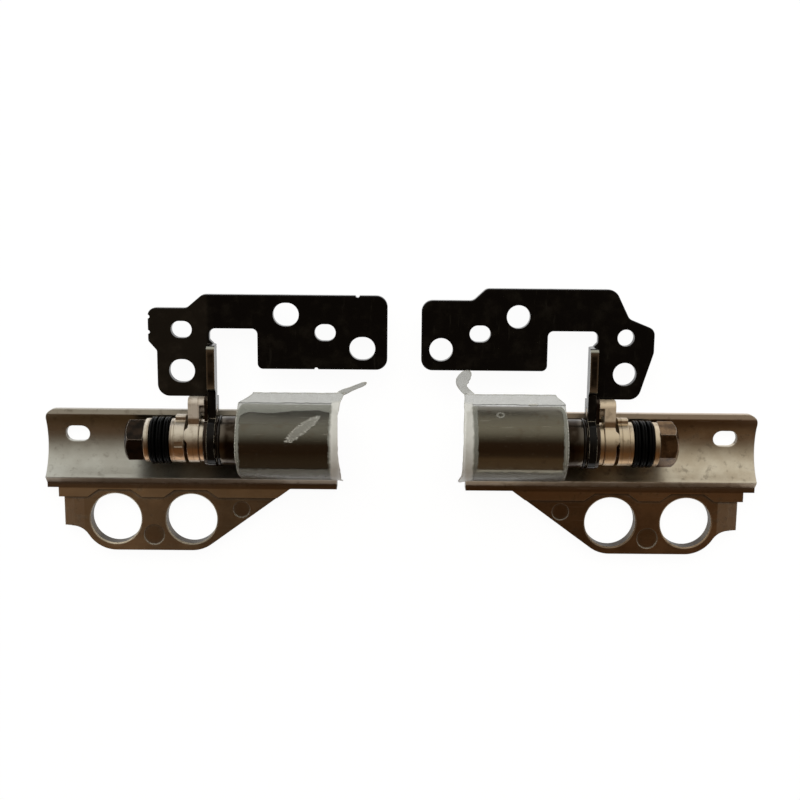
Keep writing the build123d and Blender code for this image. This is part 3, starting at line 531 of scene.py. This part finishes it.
# Disc springs.
# Six coned rings a hinge, pressed from hardened spring steel and stacked in pairs between two washers.
# They are left black and wet with oil.
spring_black = (0.001, 0.001, 0.001)
spring_grey = (0.003, 0.003, 0.003)
spring_edge = (0.06, 0.055, 0.05)
oily_finish, tree, shader = new_finish("oily_spring_steel")
spot = millimetres(tree)
soft, edge = soft_edge_wear_and_sheen(tree, 0.00008)
colour = tint(tree, grain(tree, spot, 1.2), spring_black, spring_grey)
colour = tint(tree, times(tree, edge, 0.10), colour, spring_edge)
tree.links.new(colour, shader.inputs["Base Color"])
shader.inputs["Metallic"].default_value = 0.0
shader.inputs["Specular IOR Level"].default_value = 0.035
tree.links.new(plus(tree, times(tree, grain(tree, spot, 2.0), 0.14), 0.08), shader.inputs["Roughness"])
roughen(tree, shader, grain(tree, millimetres(tree, (1.0, 2.0, 2.0)), 2.5), 0.15, 0.00003, soft)
for hand in hands:
    for number in range(1, 7):
        dress(f"{hand}_disc_spring_{number}", oily_finish)


# Lock nuts.
# Small steel hex nuts run up the threaded end of the shaft, where they clamp the whole pack.
# They are blackened, with brown where the blacking is rubbed, and corners lightened, partly worn and partly
# a painted highlight.
nut_tones = {
    "left": ((0.012, 0.009, 0.007), (0.034, 0.022, 0.015)),
    "right": ((0.080, 0.046, 0.022), (0.19, 0.115, 0.058)),
}
nut_edge_wear_and_sheen = (0.55, 0.47, 0.40)
for hand, (blacking, rubbed_brown) in nut_tones.items():
    nut_finish, tree, shader = new_finish(f"{hand}_blackened_nut")
    spot = millimetres(tree)
    soft, edge = soft_edge_wear_and_sheen(tree, 0.00012)
    colour = tint(tree, window(tree, grain(tree, spot, 0.9, 4.0), 0.38, 0.62), blacking, rubbed_brown)
    # Edges lightened: worn blacking, and a painted highlight.
    colour = tint(tree, times(tree, edge, 0.75), colour, nut_edge_wear_and_sheen)
    tree.links.new(colour, shader.inputs["Base Color"])
    shader.inputs["Metallic"].default_value = 0.9
    tree.links.new(plus(tree, times(tree, grain(tree, spot, 2.5), 0.22), 0.12), shader.inputs["Roughness"])
    roughen(tree, shader, grain(tree, spot, 4.0), 0.12, 0.00003, soft)
    dress(f"{hand}_lock_nut", nut_finish)


# Grease at the arm.
# Black grease squeezed out between the shaft's collar and the inner friction washer, in a ragged bead.
# It is wet and soft, clings round the collar's rim, and stays there when the arm turns.
bead_station = 22.56          # millimetres from the middle of the pair
bead_ring = 3.04
bead_thickness = 0.16
bead_unevenness = 0.10


def make_bead_tree():
    """Ring along the collar's rim, swept with a bead whose thickness wanders."""
    made = bpy.data.node_groups.new("grease_bead", "GeometryNodeTree")
    made.interface.new_socket("Geometry", in_out="INPUT", socket_type="NodeSocketGeometry")
    for name, kind in (("Middle", "NodeSocketVector"), ("Ring radius", "NodeSocketFloat"),
                       ("Bead thickness", "NodeSocketFloat"), ("Unevenness", "NodeSocketFloat"),
                       ("Seed", "NodeSocketFloat"), ("Finish", "NodeSocketMaterial")):
        made.interface.new_socket(name, in_out="INPUT", socket_type=kind)
    made.interface.new_socket("Geometry", in_out="OUTPUT", socket_type="NodeSocketGeometry")
    sizes = put(made, "NodeGroupInput").outputs
    ring = put(made, "GeometryNodeCurvePrimitiveCircle", {"Resolution": 96, "Radius": sizes["Ring radius"]})
    stood = put(made, "GeometryNodeTransform", {
        "Geometry": ring.outputs["Curve"], "Rotation": (0.0, math.radians(90.0), 0.0),
        "Translation": sizes["Middle"]})
    wander = put(made, "ShaderNodeTexNoise", {
        "W": sizes["Seed"], "Scale": 900.0, "Detail": 2.0}, noise_dimensions="4D").outputs["Fac"]
    shift = put(made, "ShaderNodeMath", {0: wander, 1: 0.5}, operation="SUBTRACT").outputs[0]
    shift = put(made, "ShaderNodeMath", {0: shift, 1: sizes["Unevenness"]}, operation="MULTIPLY").outputs[0]
    offset = put(made, "ShaderNodeCombineXYZ", {"X": shift}).outputs[0]
    moved = put(made, "GeometryNodeSetPosition", {"Geometry": stood.outputs[0], "Offset": offset})
    swell = put(made, "ShaderNodeMapRange", {
        "Value": wander, "From Min": 0.30, "From Max": 0.70, "To Min": 0.45, "To Max": 1.25,
    }).outputs["Result"]
    round_bead = put(made, "GeometryNodeCurvePrimitiveCircle", {
        "Resolution": 10, "Radius": sizes["Bead thickness"]})
    swept = put(made, "GeometryNodeCurveToMesh", {
        "Curve": moved.outputs[0], "Profile Curve": round_bead.outputs["Curve"], "Scale": swell})
    smooth = put(made, "GeometryNodeSetShadeSmooth", {"Geometry": swept.outputs[0]})
    whole = put(made, "GeometryNodeRealizeInstances", {"Geometry": smooth.outputs[0]})
    dressed = put(made, "GeometryNodeSetMaterial", {
        "Geometry": whole.outputs[0], "Material": sizes["Finish"]})
    put(made, "NodeGroupOutput", {0: dressed.outputs[0]})
    return made


grease_dark = (0.003, 0.0025, 0.002)
grease_brown = (0.014, 0.010, 0.007)
grease_finish, tree, shader = new_finish("black_grease")
spot = millimetres(tree)
lumps = grain(tree, spot, 2.2, 3.0)
tree.links.new(tint(tree, lumps, grease_dark, grease_brown), shader.inputs["Base Color"])
shader.inputs["Specular IOR Level"].default_value = 0.25
tree.links.new(plus(tree, times(tree, lumps, 0.25), 0.10), shader.inputs["Roughness"])
bump = put(tree, "ShaderNodeBump", {"Strength": 0.3, "Distance": 0.00005, "Height": lumps}).outputs[0]
tree.links.new(bump, shader.inputs["Normal"])
bead_tree = make_bead_tree()
for hand, side, seed in (("left", -1, 2.0), ("right", 1, 5.0)):
    bead = bpy.data.objects.new(f"{hand}_grease_bead", bpy.data.meshes.new(f"{hand}_grease_bead"))
    scene.collection.objects.link(bead)
    maker = bead.modifiers.new("bead", "NODES")
    maker.node_group = bead_tree
    bead_sizes = {
        "Middle": (side * bead_station / 1000, shaft_across / 1000, shaft_up / 1000),
        "Ring radius": bead_ring / 1000, "Bead thickness": bead_thickness / 1000,
        "Unevenness": bead_unevenness / 1000, "Seed": seed, "Finish": grease_finish}
    for socket in bead_tree.interface.items_tree:
        if socket.in_out == "INPUT" and socket.name in bead_sizes:
            maker[socket.identifier] = bead_sizes[socket.name]
    bpy.context.view_layer.update()
    plain = bpy.data.meshes.new_from_object(bead.evaluated_get(bpy.context.evaluated_depsgraph_get()))
    bead.modifiers.clear()
    bead.data = plain
    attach(bead, "bases")


# Protective films.
# A clear plastic film stuck round the front of each barrel, with a free flap and a pull tab at the back.
# It is hazy where it stands off the metal, whitish at its cut edges, scuffed or bubbled where it sticks.
film_radius = 4.68
film_inner = 7.505             # inner end of the film, in millimetres from the middle of the pair
film_width = 12.8
film_thickness = 0.1
flap_length = 3.0
leave_angle = math.radians(28.0)
foot_angle = math.radians(164.8)
foot_length = 3.03
film_length = flap_length + film_radius * (foot_angle - leave_angle) + foot_length
flap_curl = math.radians(9.0)  # the free flap springs outwards by so much in each millimetre
film_cell = 0.16
inner_wave = 0.05              # how far the two cut edges wander
outer_wave = 0.03
overhang_width = 1.1           # the inner end hangs over the barrel's end and stands off it
overhang_slack = 0.10
flap_slack = 0.07
rim_band = 0.35                # whitish band along the cut edges, and along the tab's
tab_rim_band = 0.25
tab_rows = 26
tab_curl = 0.10
deepest_front = 5.0            # the loose part reaches less far down the film than this
scuff_turn = 41.0              # degrees
haze_grey = (0.29, 0.305, 0.27)
haze_pale = (0.36, 0.37, 0.335)
overhang_white = (0.80, 0.81, 0.78)
mark_white = (0.64, 0.64, 0.59)
silhouette_shade_dark = (0.03, 0.03, 0.025)


def film_place(distance):
    """Place across the barrel, towards the display and up from the shaft, at a distance along the film."""
    if distance < flap_length:
        run = flap_length - distance
        start = leave_angle - math.pi / 2
        turn = start + flap_curl * run
        return (film_radius * math.cos(leave_angle) + (math.sin(turn) - math.sin(start)) / flap_curl,
                film_radius * math.sin(leave_angle) - (math.cos(turn) - math.cos(start)) / flap_curl)
    angle = leave_angle + (distance - flap_length) / film_radius
    if angle < foot_angle:
        return film_radius * math.cos(angle), film_radius * math.sin(angle)
    run = (angle - foot_angle) * film_radius
    return (film_radius * math.cos(foot_angle) - run * math.sin(foot_angle),
            film_radius * math.sin(foot_angle) + run * math.cos(foot_angle))


def wobble(x, y, seed):
    """Smooth wander between -1 and 1, the same on every run."""
    return noise.noise(Vector((x, y, 7.3 * seed)))


def bend(stops, place):
    """Broken line through (place, value) stops, eased between them."""
    for (a, low), (b, high) in zip(stops, stops[1:]):
        if place <= b:
            share = max(0.0, (place - a) / (b - a))
            share = share * share * (3 - 2 * share)
            return low + (high - low) * share
    return stops[-1][1]


def make_film_mesh(hand, side, inner_edge, outer_edge, tab_path, tab_widths, tab_columns, seed):
    """Film as one skin: a grid over the barrel, with the pull tab grown from its inner corner."""
    rows = round(film_length / film_cell)
    columns = round(film_width / film_cell)
    skin = bmesh.new()
    lay = skin.verts.layers.float_vector.new("film_lay")
    rim = skin.verts.layers.float.new("rim")

    def corner(along, across, up, lay_at, rim_at):
        made = skin.verts.new((side * along / 1000, (shaft_across + across) / 1000, (shaft_up + up) / 1000))
        made[lay] = (lay_at[0], lay_at[1], 0.0)
        made[rim] = rim_at
        return made

    grid = []
    for row in range(rows + 1):
        distance = film_length * row / rows
        start = bend(inner_edge, distance) + inner_wave * wobble(distance * 1.7, 0.0, seed)
        stop = bend(outer_edge, distance) + outer_wave * wobble(distance * 1.9, 5.0, seed)
        line = []
        for column in range(columns + 1):
            along = start + (stop - start) * column / columns
            across, up = film_place(distance)
            ahead = film_place(distance + 0.01)
            normal = Vector((up - ahead[1], ahead[0] - across)).normalized()
            loose = overhang_slack * max(0.0, 1.0 - along / overhang_width)
            loose += flap_slack * max(0.0, 1.0 - distance / flap_length)
            lift = loose * (1.0 + wobble(along * 0.9, distance * 0.55, seed + 1) * 1.6)
            edge_gap = min(along - start, stop - along, distance, film_length - distance)
            line.append(corner(film_inner + along, across - normal.x * lift, up - normal.y * lift,
                               (along, distance), max(0.0, 1.0 - edge_gap / rim_band)))
        grid.append(line)
    feet = grid[0][:tab_columns + 1]
    tab = [feet]
    for row in range(1, tab_rows + 1):
        share = row / tab_rows
        a, b, c = (Vector(p) for p in tab_path)
        middle = a * (1 - share) ** 2 + b * 2 * share * (1 - share) + c * share ** 2
        ahead = (b - a) * (1 - share) + (c - b) * share
        crosswise = Vector((ahead.y, -ahead.x, 0.0)).normalized()
        width = bend(tab_widths, share)
        line = []
        for column in range(tab_columns + 1):
            offset = (column / tab_columns - 0.5) * width
            spot = middle + crosswise * offset
            settle = min(1.0, share * 4.0)
            first = feet[column].co * 1000
            from_foot = Vector((side * first.x - film_inner, first.y - shaft_across, first.z - shaft_up))
            spot = from_foot.lerp(spot, settle) if share < 0.25 else spot
            curl = tab_curl * wobble(spot.x * 1.3, spot.y * 1.3, seed + 2) * settle
            edge_gap = min(width / 2 - abs(offset), (1 - share) * 2.0)
            line.append(corner(film_inner + spot.x, spot.y, spot.z + curl,
                               (spot.x, -3.0 * share), max(0.0, 1.0 - edge_gap / tab_rim_band)))
        tab.append(line)
    for block in (grid, tab):
        for below, above in zip(block, block[1:]):
            for k in range(len(below) - 1):
                skin.faces.new((below[k], below[k + 1], above[k + 1], above[k]))
    bmesh.ops.recalc_face_normals(skin, faces=skin.faces)
    top = max(skin.faces, key=lambda f: f.calc_center_median().z)
    if top.normal.z < 0:
        bmesh.ops.reverse_faces(skin, faces=skin.faces)
    area = sum(f.calc_area() for f in skin.faces)
    for face in skin.faces:
        face.smooth = True
    mesh = bpy.data.meshes.new(f"{hand}_film")
    skin.to_mesh(mesh)
    skin.free()
    film = bpy.data.objects.new(f"{hand}_film", mesh)
    scene.collection.objects.link(film)
    wall = film.modifiers.new("wall", "SOLIDIFY")
    wall.thickness = film_thickness / 1000
    wall.offset = 0.0
    bpy.context.view_layer.update()
    solid = bpy.data.meshes.new_from_object(film.evaluated_get(bpy.context.evaluated_depsgraph_get()))
    film.modifiers.clear()
    film.data = solid
    return film, area


def spot_mask(tree, along, distance, centre, half, turn, ragged):
    """Soft ellipse on the film, with a ragged rim: 0 outside, rising to 1 at its middle."""
    dx = sums(tree, "SUBTRACT", along, centre[0])
    dy = sums(tree, "SUBTRACT", distance, centre[1])
    c, s = math.cos(math.radians(turn)), math.sin(math.radians(turn))
    long_way = times(tree, plus(tree, times(tree, dx, c), times(tree, dy, s)), 1 / half[0])
    wide_way = times(tree, plus(tree, times(tree, dx, -s), times(tree, dy, c)), 1 / half[1])
    round_way = plus(tree, times(tree, long_way, long_way), times(tree, wide_way, wide_way))
    reach = sums(tree, "SQRT", round_way)
    return all_but(tree, plus(tree, reach, ragged))


def make_film_finish(hand, front, stuck_inner, stuck_outer, stuck_foot, haze):
    """Clear film, hazy off its stuck part: front gives how far down it starts to stick, along the barrel."""
    finish, tree, shader = new_finish(f"{hand}_clear_film")
    spot = put(tree, "ShaderNodeAttribute", attribute_name="film_lay").outputs["Vector"]
    rim = put(tree, "ShaderNodeAttribute", attribute_name="rim").outputs["Fac"]
    parts = put(tree, "ShaderNodeSeparateXYZ", {"Vector": spot}).outputs
    along, distance = parts["X"], parts["Y"]
    ragged = sums(tree, "SUBTRACT", grain(tree, spot, 1.1, 3.0), 0.5)
    wavy_along = plus(tree, along, times(tree, ragged, 0.5))
    wavy_distance = plus(tree, distance, times(tree, ragged, 0.9))

    # Where the film sticks to the barrel; elsewhere it stands off and is cloudy.
    stops = [(share, [depth / deepest_front] * 3) for share, depth in front]
    profile = ramp(tree, times(tree, along, 1 / film_width), stops, "EASE")
    start = times(tree, profile, deepest_front)
    past_front = sums(tree, "SUBTRACT", plus(tree, distance, times(tree, ragged, 0.3)), start)
    stuck = window(tree, past_front, -0.05, 0.10)
    stuck = times(tree, stuck, window(tree, wavy_along, stuck_inner, stuck_inner + 0.15))
    stuck = times(tree, stuck, window(tree, wavy_along, stuck_outer, stuck_outer - 0.15))
    stuck = times(tree, stuck, window(tree, wavy_distance, stuck_foot, stuck_foot - 0.25))
    cloudy = all_but(tree, stuck)

    # The veil of haze, thicker on the overhang and the tab, with a painted shadow line across the flap where
    # the barrel's edge lies behind it.
    patches = grain(tree, spot, 0.9, 4.0, 0.6)
    veil = times(tree, cloudy, plus(tree, times(tree, patches, 0.16), haze - 0.08))
    overhang = times(tree, window(tree, wavy_along, 1.35, 1.05), window(tree, distance, 1.0, 1.6))
    tab = window(tree, distance, -0.2, -0.6)
    silhouette_shade_at = plus(tree, times(tree, ragged, 0.25), 1.52)
    silhouette_shade = window(tree, sums(tree, "ABSOLUTE", sums(tree, "SUBTRACT", distance, silhouette_shade_at)), 0.10, 0.03)
    silhouette_shade = times(tree, silhouette_shade, window(tree, wavy_along, 0.9, 1.3))
    for zone, thickness in ((stuck, 0.006), (overhang, 0.26), (tab, 0.10), (silhouette_shade, 0.30)):
        veil = plus(tree, veil, times(tree, zone, thickness))

    # White rims, crumbs, and each film's own marks: a torn scuff on the left, a bubble ring and a painted
    # glare on the right.
    broken = window(tree, grain(tree, spot, 2.2, 3.0), 0.35, 0.6)
    white_rim = times(tree, window(tree, rim, 0.45, 0.95), broken)
    marks = times(tree, white_rim, 0.35)
    if hand == "left":
        streaky = put(tree, "ShaderNodeMapping", {
            "Vector": spot, "Rotation": (0.0, 0.0, math.radians(-scuff_turn)), "Scale": (0.8, 3.0, 1.0),
        }).outputs[0]
        tears = sums(tree, "SUBTRACT", grain(tree, streaky, 1.6, 4.0, 0.7), 0.5)
        tears = times(tree, tears, 1.4)
        reach = spot_mask(tree, along, distance, (4.6, 5.55), (2.75, 0.66), scuff_turn, tears)
        scuff = window(tree, reach, 0.0, 0.12)
        fine = grain(tree, spot, 5.0, 3.0, 0.7)
        torn = times(tree, window(tree, reach, 0.45, 0.0), window(tree, fine, 0.44, 0.60))
        marks = plus(tree, marks, times(tree, scuff, 0.20))
        marks = plus(tree, marks, times(tree, times(tree, scuff, torn), 0.40))
    else:
        reach = spot_mask(tree, along, distance, (4.56, 3.3), (0.56, 0.56), 0.0, times(tree, ragged, 0.2))
        ring = times(tree, window(tree, reach, 0.0, 0.15), window(tree, reach, 0.62, 0.40))
        marks = plus(tree, marks, times(tree, ring, 0.20))
        # Painted glare: a pale streak on the right film.
        reach = spot_mask(tree, along, distance, (8.7, 1.5), (0.75, 0.22), 0.0, times(tree, ragged, 0.5))
        marks = plus(tree, marks, times(tree, window(tree, reach, 0.0, 0.2), 0.4))
    crumbs = window(tree, grain(tree, spot, 3.0, 2.0, 0.8), 0.72, 0.76)
    marks = plus(tree, marks, times(tree, crumbs, 0.3))

    opaque = put(tree, "ShaderNodeMath", {0: veil, 1: marks}, operation="ADD", use_clamp=True).outputs[0]
    tree.links.new(sums(tree, "MINIMUM", opaque, 0.92), shader.inputs["Alpha"])
    colour = tint(tree, patches, haze_grey, haze_pale)
    colour = tint(tree, times(tree, overhang, 0.9), colour, overhang_white)
    colour = tint(tree, window(tree, marks, 0.06, 0.3), colour, mark_white)
    # Painted shadow line across the flap.
    colour = tint(tree, times(tree, silhouette_shade, 0.9), colour, silhouette_shade_dark)
    tree.links.new(colour, shader.inputs["Base Color"])
    tree.links.new(plus(tree, times(tree, cloudy, 0.22), 0.14), shader.inputs["Roughness"])
    crinkle = times(tree, grain(tree, spot, 1.6, 3.0), cloudy)
    bump = put(tree, "ShaderNodeBump", {"Strength": 0.25, "Distance": 0.0001, "Height": crinkle}).outputs[0]
    tree.links.new(bump, shader.inputs["Normal"])
    return finish


film_cuts = {
    "left": dict(
        side=-1, seed=3, tab_columns=7,
        inner_edge=[(0.0, -0.45), (0.6, -0.15), (1.5, 0.15), (4.0, 0.38), (8.0, 0.25), (12.0, -0.05),
                    (film_length, -0.1)],
        outer_edge=[(0.0, 11.0), (1.7, 12.75), (9.0, film_width), (11.0, 12.65), (14.5, 12.2),
                    (film_length, 12.1)],
        tab_path=[(0.35, 6.0, -0.05), (-0.7, 6.45, -0.2), (-3.1, 7.45, -0.1)],
        tab_widths=[(0.0, 1.0), (0.3, 0.72), (0.6, 0.56), (0.88, 0.54), (0.96, 0.42), (1.0, 0.15)]),
    "right": dict(
        side=1, seed=11, tab_columns=9,
        inner_edge=[(0.0, 0.25), (2.0, 0.15), (6.0, 0.0), (11.0, -0.1), (14.0, -0.45), (film_length, -0.2)],
        outer_edge=[(0.0, 11.6), (1.5, 12.7), (9.0, film_width), (12.0, 12.7), (film_length, 12.5)],
        tab_path=[(0.9, 6.05, -0.05), (-1.1, 7.5, -0.2), (1.0, 8.9, -0.3)],
        tab_widths=[(0.0, 1.1), (0.25, 1.0), (0.6, 1.65), (0.85, 1.4), (0.96, 0.85), (1.0, 0.3)]),
}
film_looks = {
    "left": dict(
        front=[(0.0, 3.8), (0.10, 3.1), (0.22, 2.65), (0.42, 2.78), (0.68, 3.3), (0.88, 3.1), (1.0, 4.0)],
        stuck_inner=1.35, stuck_outer=12.4, stuck_foot=11.1, haze=0.44),
    "right": dict(
        front=[(0.0, 2.3), (0.2, 1.65), (0.5, 1.6), (0.82, 1.7), (0.92, 2.1), (1.0, 4.0)],
        stuck_inner=1.7, stuck_outer=12.3, stuck_foot=11.6, haze=0.38),
}
for hand in hands:
    film, film_area = make_film_mesh(hand, **film_cuts[hand])
    film.data.materials.clear()
    film.data.materials.append(make_film_finish(hand, **film_looks[hand]))
    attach(film, "bases")
    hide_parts(f"{hand}_protective_film")
